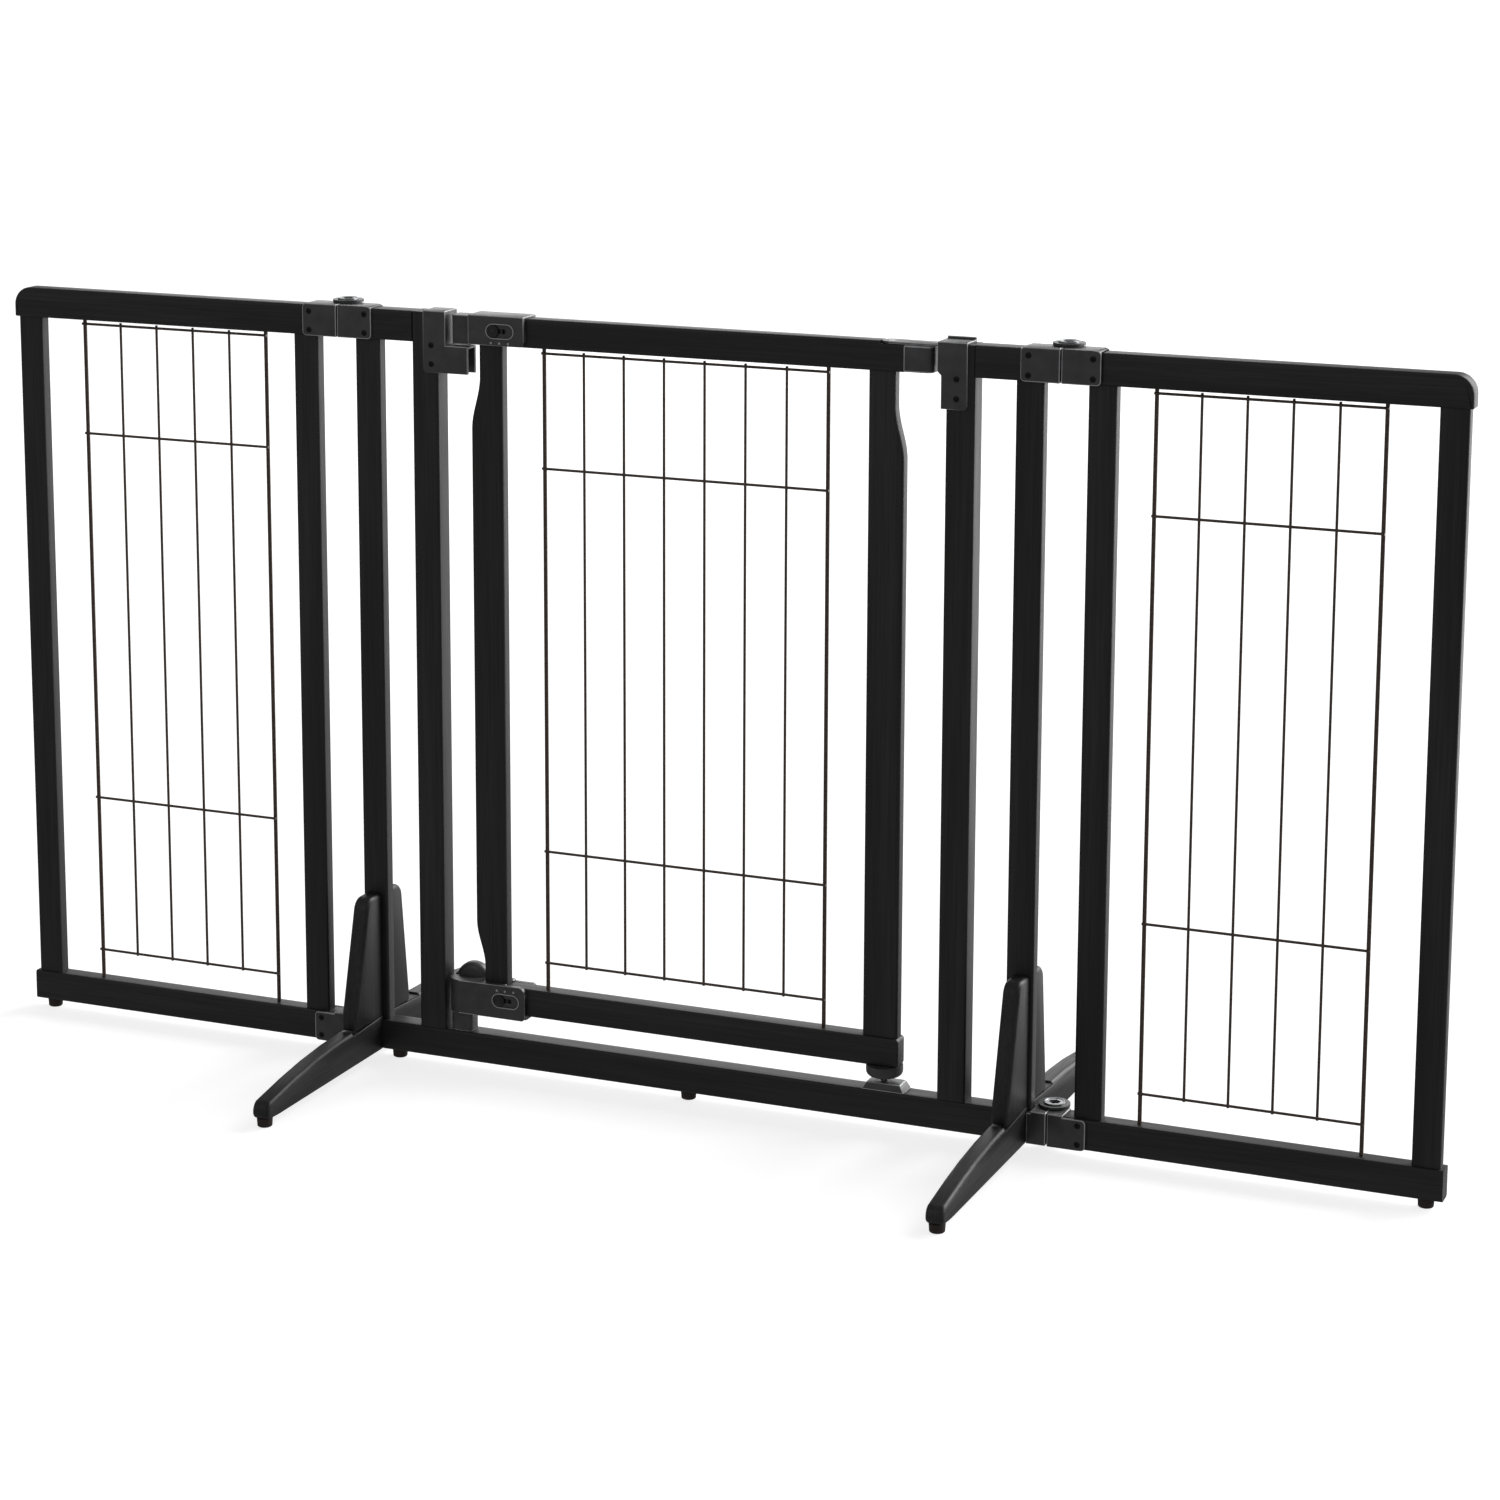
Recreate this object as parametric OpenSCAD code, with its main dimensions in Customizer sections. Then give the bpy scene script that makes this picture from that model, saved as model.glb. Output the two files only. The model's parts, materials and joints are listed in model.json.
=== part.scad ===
// Free-standing folding pet gate: a centre frame with a swinging door, and a
// folding panel on each side. X runs along the gate, Y is away from the front,
// Z is up, and the origin is on the floor under the middle of the door.

/* [Overall] */
// Height of the frame, floor to the top of the top rails
gate_h = 810; // [600:5:1000]
// Gap under the rails, which is the height of the rubber feet
floor_gap = 9.7; // [8:0.1:20]
// Length of each side panel, from its fold line to the end of its rails
panel_l = 397; // [300:1:600]
// Distance from the middle of the gate to each fold line
fold_x = 394; // [330:1:480]

/* [Rails and posts] */
// Height of every rail
rail_h = 32; // [28:0.5:40]
// Depth of the centre frame's rails
centre_rail_d = 24; // [22:0.5:32]
// Depth of the side panels' rails
side_rail_d = 21; // [18:0.5:28]
// Depth of the door's rails
door_rail_d = 20; // [18:0.5:22]
// Height of the door's rails
door_rail_h = 30; // [26:0.5:34]
// Width of the plain posts
post_w = 28.4; // [24:0.2:34]
// Depth of the plain posts
post_d = 15; // [12:0.5:17]
// Width of the two posts that the door closes between
gate_post_w = 29.8; // [26:0.2:36]
// Middle of the gate posts, in from the fold line
gate_post_in = 101.8; // [84:0.2:130]
// Outer edge of the inner posts, in from the bottom rail's end
inner_post_in = 1.2; // [0:0.2:8]
// Near edge of the side panel's inner post, in from its rail's end
side_post_in = 9.4; // [0:0.2:30]
// Rail left past the outer post
rail_overhang = 3.5; // [2:0.5:10]
// Radius on the long edges of the wood
wood_r = 2.5; // [1:0.1:4]
// Radius at the outer end of the side panels' top rails
end_r = 19; // [8:1:24]

/* [Door] */
// Width of the latch post, along its wide middle
latch_post_w = 36; // [34:0.5:44]
// Width of the hinge post, along its wide middle
hinge_post_w = 37.5; // [34:0.5:40]
// Gap between the left gate post and the latch post
latch_gap = 35.3; // [34.5:0.1:37]
// Amount the shaped posts narrow by at their ends
post_neck = 9.5; // [6:0.5:11]
// Gap between the right gate post and the hinge post
hinge_gap = 44.8; // [40:0.2:56]
// Gap between the centre frame's bottom rail and the door
door_lift = 25.7; // [22:0.1:40]
// Top of the door's top rail below the top of the frame
door_drop = 1.4; // [1:0.1:3]
// Pivot line of the door, in from the hinge post's outer edge
pivot_in = 15.5; // [13:0.5:18]

/* [Wire grids] */
// Spacing of the upright wires
wire_pitch = 44.5; // [36:0.5:50]
// Diameter of the two outer upright wires
edge_wire_d = 4.2; // [3:0.1:5]
// Diameter of the other wires
wire_d = 2.8; // [2:0.1:3.5]
// Gap between a side panel's inner post and its first upright wire
side_wire_in = 37.6; // [20:0.1:44]
// Height of the grids' second cross wire from the floor
low_wire_z = 248; // [200:1:300]
// Distance of the third cross wire under the top of the frame
high_wire_drop = 156; // [100:1:200]
// Height of the lowest cross wire in a side panel
side_bottom_wire_z = 74; // [60:1:100]
// Height of the lowest cross wire in the door
door_bottom_wire_z = 127; // [110:1:150]

/* [Legs] */
// Middle of the legs, outward of the inner posts' middle
leg_out = 1.4; // [0:0.2:4]
// Thickness of the legs
leg_t = 19; // [16:0.5:24]
// Distance from the middle plane to the tip of a leg
leg_reach = 256; // [200:1:300]
// Top of the legs' upright fins
fin_z = 182; // [120:1:240]
// Diameter of the rubber feet
foot_d = 16.5; // [12:0.5:18]

/* [Hinges and locks] */
// Wall of the plastic hinge leaves and brackets
plastic_t = 2; // [1.6:0.1:3]
// Radius of the fold hinges' knuckles
knuckle_r = 14; // [12:0.5:15]
// Width of a hinge leaf's plate, from the fold line
leaf_w = 40.5; // [34:0.5:46]
// Diameter of the fold hinges' pins
fold_pin_d = 8; // [6:0.5:10]
// Diameter of the door's pivot pins
pivot_pin_d = 7; // [5:0.5:8]
// Radial clearance of the pins in their bores
pin_gap = 0.05; // [0.02:0.01:0.1]
// Clearance between pieces that move past each other
move_gap = 0.5; // [0.3:0.1:1]
// Travel of the lock knobs
lock_travel = 12; // [8:1:14]
// Diameter of the lock knobs
knob_d = 13; // [11:0.5:14]

/* [Hidden] */
$fn = 48;
wood = [0.13, 0.13, 0.13];
plastic = [0.2, 0.2, 0.2];
wire_colour = [0.25, 0.22, 0.2];
rubber = [0.16, 0.13, 0.12];
steel = [0.7, 0.7, 0.7];

rail_z = floor_gap;                      // underside of the bottom rails
rail_top = rail_z + rail_h;              // top of the bottom rails
top_z = gate_h - rail_h;                 // underside of the top rails
door_top = gate_h - door_drop;           // top of the door's top rail
door_head = door_top - door_rail_h;      // underside of the door's top rail
gate_d = centre_rail_d;                  // the gate posts are as deep as the centre rails
rail_start = knuckle_r + 3;              // gap between a fold line and the rail's end
outer_post_x = fold_x + panel_l - rail_overhang - post_w / 2;
side_post_x = fold_x + rail_start + side_post_in + post_w / 2;
inner_post_x = fold_x - rail_start - inner_post_in - post_w / 2;
leg_x = inner_post_x + leg_out;
gate_post_x = fold_x - gate_post_in;
gate_face_x = gate_post_x - gate_post_w / 2;  // the gate posts' faces towards the door
latch_edge_x = gate_face_x - latch_gap;  // outer edge of the latch post, left of the middle
hinge_edge_x = gate_face_x - hinge_gap;  // outer edge of the hinge post
pivot_x = hinge_edge_x - pivot_in;
door_z = rail_top + door_lift;           // underside of the door's bottom rail
door_sill = door_z + door_rail_h;        // top of the door's bottom rail
leaf_gap = 0.75;                         // half of the gap between two hinge leaves
dowel_d = 8;
dowel_l = 12;                            // how deep a dowel goes into each piece
screw_head_d = 6.4;
screw_head_h = 1.2;
screw_shank_d = 3;
screw_pitch = 19.5;                      // distance between the two screws of a plate
screw_in = 8;                            // screws in from the plate's outer edge
cap_h = 2.6;                             // height of the disc on top of a fold hinge
cap_lift = plastic_t + move_gap;         // its underside above the rail

function arc(c, r, a0, a1, n = 5) =
    [for (i = [0:n]) let (a = a0 + (a1 - a0) * i / n) c + r * [cos(a), sin(a)]];

function rounded_points(w, h, r) = concat(
    arc([w / 2 - r, h / 2 - r], r, 0, 90), arc([-w / 2 + r, h / 2 - r], r, 90, 180),
    arc([-w / 2 + r, -h / 2 + r], r, 180, 270), arc([w / 2 - r, -h / 2 + r], r, 270, 360));

// Bar along X from x0 to x1, standing on z
module bar(x0, x1, z, h, d, r = wood_r) {
    translate([x0, 0, z + h / 2]) rotate([90, 0, 90])
        linear_extrude(x1 - x0) polygon(rounded_points(d, h, r));
}

// Post around x, from z0 up to z1
module post(x, z0, z1, w, d, r = wood_r) {
    translate([x, 0, z0]) linear_extrude(z1 - z0) polygon(rounded_points(w, d, r));
}

// Box given by its lowest and highest corners
module block(lo, hi) {
    translate(lo) cube(hi - lo);
}

// Cylinder along Y from y0 to y1
module rod_y(x, y0, y1, z, d) {
    translate([x, y1, z]) rotate([90, 0, 0]) cylinder(d = d, h = y1 - y0);
}

// Left-hand copies are mirrored
module on_side(s) {
    mirror([s < 0 ? 1 : 0, 0, 0]) children();
}

// ---- Dowels: upright ones join posts to rails ----
module dowel(x, z) {
    translate([x, 0, z - dowel_l]) cylinder(d = dowel_d, h = 2 * dowel_l);
}

module centre_dowel_set() {
    for (x = [-inner_post_x, -gate_post_x, gate_post_x, inner_post_x])
        dowel(x, rail_top);
    for (x = [-inner_post_x, inner_post_x])
        dowel(x, top_z);
    for (s = [-1, 1]) on_side(s)
        translate([gate_post_x + gate_post_w / 2 - dowel_l / 2, 0, gate_h - rail_h / 2])
            rotate([0, 90, 0]) cylinder(d = dowel_d, h = dowel_l);
}

module side_dowel_set() {
    for (x = [side_post_x, outer_post_x]) {
        dowel(x, rail_top);
        dowel(x, top_z);
    }
}

latch_dowel_x = -latch_edge_x + post_neck + (latch_post_w - post_neck) / 2;
hinge_dowel_x = hinge_edge_x - hinge_post_w + dowel_d;
door_dowel_x = [latch_dowel_x, hinge_dowel_x];

module door_dowel_set() {
    for (x = door_dowel_x) {
        dowel(x, door_sill);
        dowel(x, door_head);
    }
}

// ---- Screws: round heads sunk into the plates, shanks into the wood behind ----
// Each place is [x, z, y of the plate's face]
plate_y = centre_rail_d / 2 + plastic_t;
fold_y = plate_y - 1;                    // the fold lines lie just inside the plates' rear face
screw_l = plate_y - dowel_d / 2 - 0.8;   // the screws stop short of the dowels
leaf_screw_x = leaf_w - screw_in;
top_mid = gate_h - rail_h / 2;
bottom_mid = rail_z + rail_h / 2;
strike_screw_x = 8.5 - gate_post_x;
bracket_screw_x = gate_post_x - 3.5;
bracket_screw_z = top_z - 11.75;         // middle of the pair

module screw(x, z) {
    rod_y(x, -plate_y + 0.3, -plate_y + 0.3 + screw_head_h, z, screw_head_d);
    rod_y(x, -plate_y + 0.3 + screw_head_h, -plate_y + screw_l, z, screw_shank_d);
}

// Pocket and hole for one screw
module screw_hole(x, z) {
    rod_y(x, -plate_y - 1, -plate_y + 0.3 + screw_head_h, z, screw_head_d);
    rod_y(x, -plate_y, -plate_y + screw_l, z, screw_shank_d);
}

module screw_pair(x, z, hole = false) {
    for (dz = [-screw_pitch / 2, screw_pitch / 2])
        if (hole) screw_hole(x, z + dz);
        else screw(x, z + dz);
}

module centre_screw_set(hole = false) {
    for (s = [-1, 1]) on_side(s)
        screw_pair(fold_x - leaf_screw_x, top_mid, hole);
    screw_pair(strike_screw_x, bracket_screw_z, hole);
    screw_pair(bracket_screw_x, bracket_screw_z, hole);
}

module side_screw_set(hole = false) {
    for (z = [top_mid, bottom_mid])
        screw_pair(fold_x + leaf_screw_x, z, hole);
}

// ---- Leg bolts run through the bottom rail and the inner post ----
bolt_d = 8;
bolt_z = [bottom_mid, rail_top + 60];
bolt_grip = 16;                          // how far a bolt goes into each leg half

module leg_bolt_set() {
    for (s = [-1, 1]) on_side(s)
        for (z = bolt_z)
            rod_y(leg_x, -post_d / 2 - bolt_grip, post_d / 2 + bolt_grip, z, bolt_d);
}

// ---- Centre frame ----
module centre_bottom_rail() {
    color(wood) difference() {
        bar(-fold_x + rail_start, fold_x - rail_start, rail_z, rail_h, centre_rail_d);
        centre_dowel_set();
        centre_screw_set(true);
        leg_bolt_set();
        lower_pin_shape();
        peg_stud();
        centre_foot_set();
    }
}

module stub_rail() {
    difference() {
        bar(gate_post_x + gate_post_w / 2, fold_x - rail_start, top_z, rail_h, centre_rail_d);
        centre_dowel_set();
        centre_screw_set(true);
    }
}

module left_stub_rail() { color(wood) on_side(-1) stub_rail(); }
module right_stub_rail() { color(wood) stub_rail(); }

module gate_post(s) {
    difference() {
        post(s * gate_post_x, rail_top, gate_h, gate_post_w, gate_d);
        centre_dowel_set();
        centre_screw_set(true);
    }
}

module left_gate_post() { color(wood) gate_post(-1); }
module right_gate_post() { color(wood) gate_post(1); }

module inner_post(s) {
    difference() {
        post(s * inner_post_x, rail_top, top_z, post_w, post_d);
        centre_dowel_set();
        leg_bolt_set();
    }
}

module left_inner_post() { color(wood) inner_post(-1); }
module right_inner_post() { color(wood) inner_post(1); }

// ---- Legs: a foot and an upright fin, cut from one board ----
foot_back = centre_rail_d / 2;           // the foot butts against the rail
fin_back = post_d / 2;                   // the fin butts against the post
fin_base = 69;                           // the front fin's depth at its foot, from the middle
rear_fin_base = 54;
fin_top_y = 38;
tip_h = 19;                              // height of the leg at its tip

function leg_outline(base) = concat(
    [[foot_back, rail_z], [leg_reach - 5, rail_z]],
    arc([leg_reach - 5, rail_z + 5], 5, -90, 0, 4),
    arc([leg_reach - 12, rail_z + tip_h - 12], 12, 0, 70, 5),
    [[leg_reach - 54, rail_z + 26], [leg_reach - 96, rail_z + 31.5],
     [leg_reach - 140, rail_top + 3], [base + 6, rail_top + 4.5], [base, rail_top + 10]],
    arc([fin_top_y - 13, fin_z - 15], 15, 8, 80, 6),
    [[fin_back, fin_z], [fin_back, rail_top], [foot_back, rail_top]]);

// Front half is at s = -1, rear half at s = 1, around x = 0
module leg_half(s) {
    mirror([0, s < 0 ? 1 : 0, 0])
        rotate([90, 0, 90]) translate([0, 0, -leg_t / 2])
            linear_extrude(leg_t) polygon(leg_outline(s < 0 ? fin_base : rear_fin_base));
}

module leg(side, s) {
    difference() {
        translate([side * leg_x, 0, 0]) leg_half(s);
        leg_bolt_set();
        leg_pad_set();
    }
}

module left_front_leg() { color(wood) leg(-1, -1); }
module left_rear_leg() { color(wood) leg(-1, 1); }
module right_front_leg() { color(wood) leg(1, -1); }
module right_rear_leg() { color(wood) leg(1, 1); }
module leg_bolts() { color(steel) leg_bolt_set(); }

// ---- Rubber feet: a tapered disc with a stud pressed into the wood ----
foot_stud_d = 6;
foot_stud_h = 8;

module foot(x, y) {
    translate([x, y, 0]) rotate_extrude()
        polygon([[0, 0], [foot_d / 2 - 1.5, 0], [foot_d / 2 - 0.6, 1.2],
            [foot_d / 2, floor_gap], [foot_stud_d / 2, floor_gap],
            [foot_stud_d / 2, floor_gap + foot_stud_h], [0, floor_gap + foot_stud_h]]);
}

module leg_pad_set() {
    for (x = [-leg_x, leg_x], y = [-leg_reach + 10, leg_reach - 10]) foot(x, y);
}

centre_foot_x = [-gate_post_x - 46, 0, gate_post_x + 46];

module leg_pads() { color(rubber) leg_pad_set(); }

module centre_foot_set() {
    for (x = centre_foot_x) foot(x, 0);
}

module centre_feet() { color(rubber) centre_foot_set(); }

// ---- Fold hinges: two plastic leaves on a steel pin ----
// z is the underside of the rail that the leaves sit on, s its side of the gate
knuckle_h = rail_h / 3;

// Cylinder round the fold line from z0 to z1
module knuckle(r, z0, z1) {
    translate([fold_x, fold_y, z0]) cylinder(r = r, h = z1 - z0);
}

module inner_leaf(z, w, lid_w) {
    difference() {
        union() {
            block([fold_x - w, -plate_y, z], [fold_x - leaf_gap, plate_y, z + rail_h]);
            block([fold_x - lid_w, -plate_y, z + rail_h],
                [fold_x - leaf_gap, plate_y, z + rail_h + plastic_t]);
            knuckle(knuckle_r, z, z + knuckle_h);
            knuckle(knuckle_r, z + 2 * knuckle_h, z + rail_h + cap_lift + cap_h);
            knuckle(knuckle_r + 2, z + rail_h + cap_lift, z + rail_h + cap_lift + cap_h);
        }
        block([fold_x - w - 1, -centre_rail_d / 2, z - 1],
            [fold_x - rail_start, centre_rail_d / 2, z + rail_h]);
        knuckle(knuckle_r + move_gap, z + knuckle_h - move_gap / 2,
            z + 2 * knuckle_h + move_gap / 2);
        knuckle(fold_pin_d / 2, z - 1, z + rail_h + 10);
        centre_screw_set(true);
    }
}

module outer_leaf(z, lid_w) {
    difference() {
        union() {
            block([fold_x + leaf_gap, -plate_y, z], [fold_x + leaf_w, plate_y, z + rail_h]);
            block([fold_x + leaf_gap, -plate_y, z + rail_h],
                [fold_x + lid_w, plate_y, z + rail_h + plastic_t]);
            knuckle(knuckle_r, z + knuckle_h + move_gap / 2, z + 2 * knuckle_h - move_gap / 2);
        }
        block([fold_x + rail_start, -side_rail_d / 2, z - 1],
            [fold_x + leaf_w + 1, side_rail_d / 2, z + rail_h]);
        knuckle(knuckle_r + move_gap, z - 1, z + knuckle_h + move_gap / 2);
        knuckle(knuckle_r + move_gap, z + 2 * knuckle_h - move_gap / 2, z + rail_h + 10);
        knuckle(fold_pin_d / 2 + pin_gap, z - 1, z + rail_h + 10);
        side_screw_set(true);
    }
}

// The lower inner leaf stops at the leg, and the lower lids stop short of the posts
low_leaf_w = fold_x - leg_x - leg_t / 2 - move_gap;

module left_top_inner_leaf() { color(plastic) on_side(-1) inner_leaf(top_z, leaf_w, leaf_w); }
module right_top_inner_leaf() { color(plastic) inner_leaf(top_z, leaf_w, leaf_w); }
module left_bottom_inner_leaf() {
    color(plastic) on_side(-1) inner_leaf(rail_z, low_leaf_w, rail_start);
}
module right_bottom_inner_leaf() {
    color(plastic) inner_leaf(rail_z, low_leaf_w, rail_start);
}
module left_top_outer_leaf() { color(plastic) on_side(-1) outer_leaf(top_z, leaf_w); }
module right_top_outer_leaf() { color(plastic) outer_leaf(top_z, leaf_w); }
module left_bottom_outer_leaf() { color(plastic) on_side(-1) outer_leaf(rail_z, rail_start); }
module right_bottom_outer_leaf() { color(plastic) outer_leaf(rail_z, rail_start); }

// Pin with a round head that has a hexagon socket
module fold_pin(z) {
    head_z = z + rail_h + cap_lift + cap_h;
    difference() {
        union() {
            translate([fold_x, fold_y, z]) cylinder(d = fold_pin_d, h = head_z - z);
            translate([fold_x, fold_y, head_z]) cylinder(d = fold_pin_d * 2.2, h = 1.5);
        }
        translate([fold_x, fold_y, head_z - 2]) cylinder(d = fold_pin_d * 0.8, h = 5, $fn = 6);
    }
}

module fold_pins() {
    color(steel) for (s = [-1, 1]) on_side(s) for (z = [rail_z, top_z]) fold_pin(z);
}

module centre_screws() { color(steel) centre_screw_set(); }
module centre_dowels() { color("tan") centre_dowel_set(); }

// ---- Strike bracket on the left gate post: a cap with a hollow shelf ----
bracket_top = gate_h + plastic_t;
strike_l = strike_screw_x - 9.5;         // outer edge of the plate
strike_r = -gate_face_x + 9.8;
shelf_r = -latch_edge_x + 0.2;
shelf_top = door_head - 2.2;             // the latch bolt rides just above it
shelf_z = shelf_top - 28.9;              // underside of the bracket
shelf_d = 20;                            // depth of the shelf, from the bracket's front

module strike_bracket() {
    color(plastic) difference() {
        union() {
            block([strike_l, -plate_y, shelf_z], [strike_r, plate_y, bracket_top]);
            block([strike_r, -plate_y, shelf_z], [shelf_r, shelf_d - plate_y, shelf_top]);
        }
        block([strike_l - 1, -gate_d / 2, shelf_z - 1], [-gate_face_x, gate_d / 2, gate_h]);
        block([strike_r, -plate_y + 3, shelf_z - 1],
            [shelf_r + 1, shelf_d - plate_y - 3, shelf_top - 2.5]);
        centre_screw_set(true);
    }
}

// ---- Upper hinge bracket on the right gate post, with the arm that holds the pivot ----
bracket_l = gate_face_x - 8.6;
bracket_step = gate_face_x - 4.8;
bracket_r = gate_post_x + 7.5;
bracket_z = top_z - 32.3;
arm_t = 2.4;
arm_w = door_rail_d;                     // the arm is as wide as the rail it lies on
arm_top = door_top;
lip_h = 2.5;

module bracket_outline() {
    polygon([[bracket_step, bracket_z], [bracket_r, bracket_z], [bracket_r, bracket_top],
        [bracket_l, bracket_top], [bracket_l, top_z + 4.4], [bracket_step, top_z + 0.6]]);
}

module upper_hinge_bracket() {
    color(plastic) difference() {
        union() {
            translate([0, plate_y, 0]) rotate([90, 0, 0])
                linear_extrude(2 * plate_y) bracket_outline();
            block([bracket_l + 1, plate_y - 2, bracket_top],
                [bracket_r, plate_y, bracket_top + lip_h]);
            block([pivot_x, -arm_w / 2, arm_top - arm_t],
                [bracket_l + 1, arm_w / 2, arm_top]);
            translate([pivot_x, 0, arm_top - arm_t]) cylinder(d = arm_w, h = arm_t);
        }
        block([gate_face_x, -gate_d / 2, bracket_z - 1], [bracket_r + 1, gate_d / 2, gate_h]);
        upper_pin_shape();
        centre_screw_set(true);
    }
}

spigot_h = 13.7;                         // height of the end cap's pivot block
spigot_top = arm_top - arm_t - move_gap;
spigot_z = spigot_top - spigot_h;

module upper_pin_shape() {
    translate([pivot_x, 0, spigot_z + 1])
        cylinder(d = pivot_pin_d, h = arm_top - spigot_z - 1);
}

module upper_pivot_pin() { color(steel) upper_pin_shape(); }

// ---- Lower pivot: a saddle on the bottom rail, a steel pin and a dome under the door ----
saddle_w = 46;
saddle_top_w = 36;
saddle_h = 8;
dome_r = 19;
dome_h = 12;
lower_pin_top = door_z - move_gap;

module lower_pin_shape() {
    translate([pivot_x, 0, rail_top - 16])
        cylinder(d = pivot_pin_d, h = lower_pin_top - rail_top + 16);
}

module saddle_slope(w, top_w, l) {
    translate([0, l / 2, 0]) rotate([90, 0, 0]) linear_extrude(l)
        polygon([[-w / 2, 0], [w / 2, 0], [top_w / 2, saddle_h], [-top_w / 2, saddle_h]]);
}

module lower_pivot_saddle() {
    color(plastic) difference() {
        translate([pivot_x + 2, 0, rail_top]) intersection() {
            saddle_slope(saddle_w, saddle_top_w, centre_rail_d);
            rotate([0, 0, 90]) saddle_slope(centre_rail_d - 1, centre_rail_d - 5, saddle_w);
        }
        lower_pin_shape();
    }
}

module lower_pivot_pin() { color(steel) lower_pin_shape(); }

// ---- Catch peg on the bottom rail, under the nose of the lower latch housing ----
peg_x = 17.6 - gate_face_x;
peg_w = 24;
peg_d = 20;

module peg_stud() {
    translate([peg_x, 0, rail_top - 10]) cylinder(d = 8, h = 10);
}

module catch_peg() {
    color(plastic) union() {
        post(peg_x, rail_top, housing_z - 2 * move_gap, peg_w, peg_d, 5);
        peg_stud();
    }
}

// ---- Welded wire grids ----
cross_y = (wire_d + edge_wire_d) / 2 - 1.2;  // cross wires lie in front of the uprights

module wire_grid(x0, n, low, high, cross_z) {
    x1 = x0 + (n - 1) * wire_pitch;
    for (i = [0:n - 1]) {
        edge = i == 0 || i == n - 1;
        z0 = edge ? low - 6 : cross_z[0] - wire_d;
        z1 = edge ? high + 6 : cross_z[3] + wire_d;
        translate([x0 + i * wire_pitch, 0, z0])
            cylinder(d = edge ? edge_wire_d : wire_d, h = z1 - z0, $fn = 24);
    }
    for (z = cross_z)
        translate([x0 - 2, -cross_y, z]) rotate([0, 90, 0])
            cylinder(d = wire_d, h = x1 - x0 + 4, $fn = 24);
}

// The two holes that a grid's outer wires go into at each rail
module wire_holes(x0, n, low, high) {
    for (i = [0, n - 1], z = [low - 6, high])
        translate([x0 + i * wire_pitch, 0, z]) cylinder(d = edge_wire_d, h = 6, $fn = 24);
}

top_wire_z = top_z - 4.8;
side_cross_z = [side_bottom_wire_z, low_wire_z, gate_h - high_wire_drop, top_wire_z];
door_cross_z = [door_bottom_wire_z, low_wire_z, gate_h - high_wire_drop, top_wire_z];
side_wire_x = side_post_x + post_w / 2 + side_wire_in;
side_wires = 1 + floor((outer_post_x - post_w / 2 - 20 - side_wire_x) / wire_pitch);
door_clear_l = latch_post_w - latch_edge_x;  // the door's opening between its posts
door_clear_r = hinge_edge_x - hinge_post_w;
door_wires = round((door_clear_r - door_clear_l) / wire_pitch) - 1;
door_wire_x = (door_clear_l + door_clear_r - (door_wires - 1) * wire_pitch) / 2;

// ---- Side panels, made on the right and mirrored to the left ----
panel_end = fold_x + panel_l;

module side_top_rail() {
    difference() {
        intersection() {
            bar(fold_x + rail_start, panel_end, top_z, rail_h, side_rail_d);
            translate([0, side_rail_d, 0]) rotate([90, 0, 0]) linear_extrude(2 * side_rail_d)
                polygon(concat([[fold_x, top_z - 1], [panel_end, top_z - 1]],
                    arc([panel_end - end_r, gate_h - end_r], end_r, 0, 90, 10),
                    [[fold_x, gate_h]]));
        }
        side_dowel_set();
        side_screw_set(true);
        wire_holes(side_wire_x, side_wires, rail_top, top_z);
    }
}

module side_bottom_rail() {
    difference() {
        bar(fold_x + rail_start, panel_end, rail_z, rail_h, side_rail_d);
        side_dowel_set();
        side_screw_set(true);
        wire_holes(side_wire_x, side_wires, rail_top, top_z);
        foot(outer_post_x, 0);
    }
}

module side_post(x) {
    difference() {
        post(x, rail_top, top_z, post_w, post_d);
        side_dowel_set();
    }
}

module side_wire_grid() {
    wire_grid(side_wire_x, side_wires, rail_top, top_z, side_cross_z);
}

module left_top_rail() { color(wood) on_side(-1) side_top_rail(); }
module left_bottom_rail() { color(wood) on_side(-1) side_bottom_rail(); }
module left_outer_post() { color(wood) on_side(-1) side_post(outer_post_x); }
module left_side_post() { color(wood) on_side(-1) side_post(side_post_x); }
module left_wire_grid() { color(wire_colour) on_side(-1) side_wire_grid(); }
module left_foot() { color(rubber) on_side(-1) foot(outer_post_x, 0); }
module left_screws() { color(steel) on_side(-1) side_screw_set(); }
module left_dowels() { color("tan") on_side(-1) side_dowel_set(); }
module right_top_rail() { color(wood) side_top_rail(); }
module right_bottom_rail() { color(wood) side_bottom_rail(); }
module right_outer_post() { color(wood) side_post(outer_post_x); }
module right_side_post() { color(wood) side_post(side_post_x); }
module right_wire_grid() { color(wire_colour) side_wire_grid(); }
module right_foot() { color(rubber) foot(outer_post_x, 0); }
module right_screws() { color(steel) side_screw_set(); }
module right_dowels() { color("tan") side_dowel_set(); }

// ---- Door ----
door_rail_l = -latch_edge_x;
sleeve_x = 16;                           // the top rail stops this far inside its housing
cap_x = hinge_edge_x - 0.5;              // where the end cap meets the top rail
cap_end = bracket_l - 6;

module door_top_rail() {
    color(wood) difference() {
        bar(door_rail_l + sleeve_x, cap_x, door_head, door_rail_h, door_rail_d);
        block([pivot_x - arm_w / 2 - move_gap, -door_rail_d, spigot_top],
            [cap_x + 1, door_rail_d, door_top + 1]);
        spigot_shape();
        door_dowel_set();
        wire_holes(door_wire_x, door_wires, door_sill, door_head);
    }
}

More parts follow.
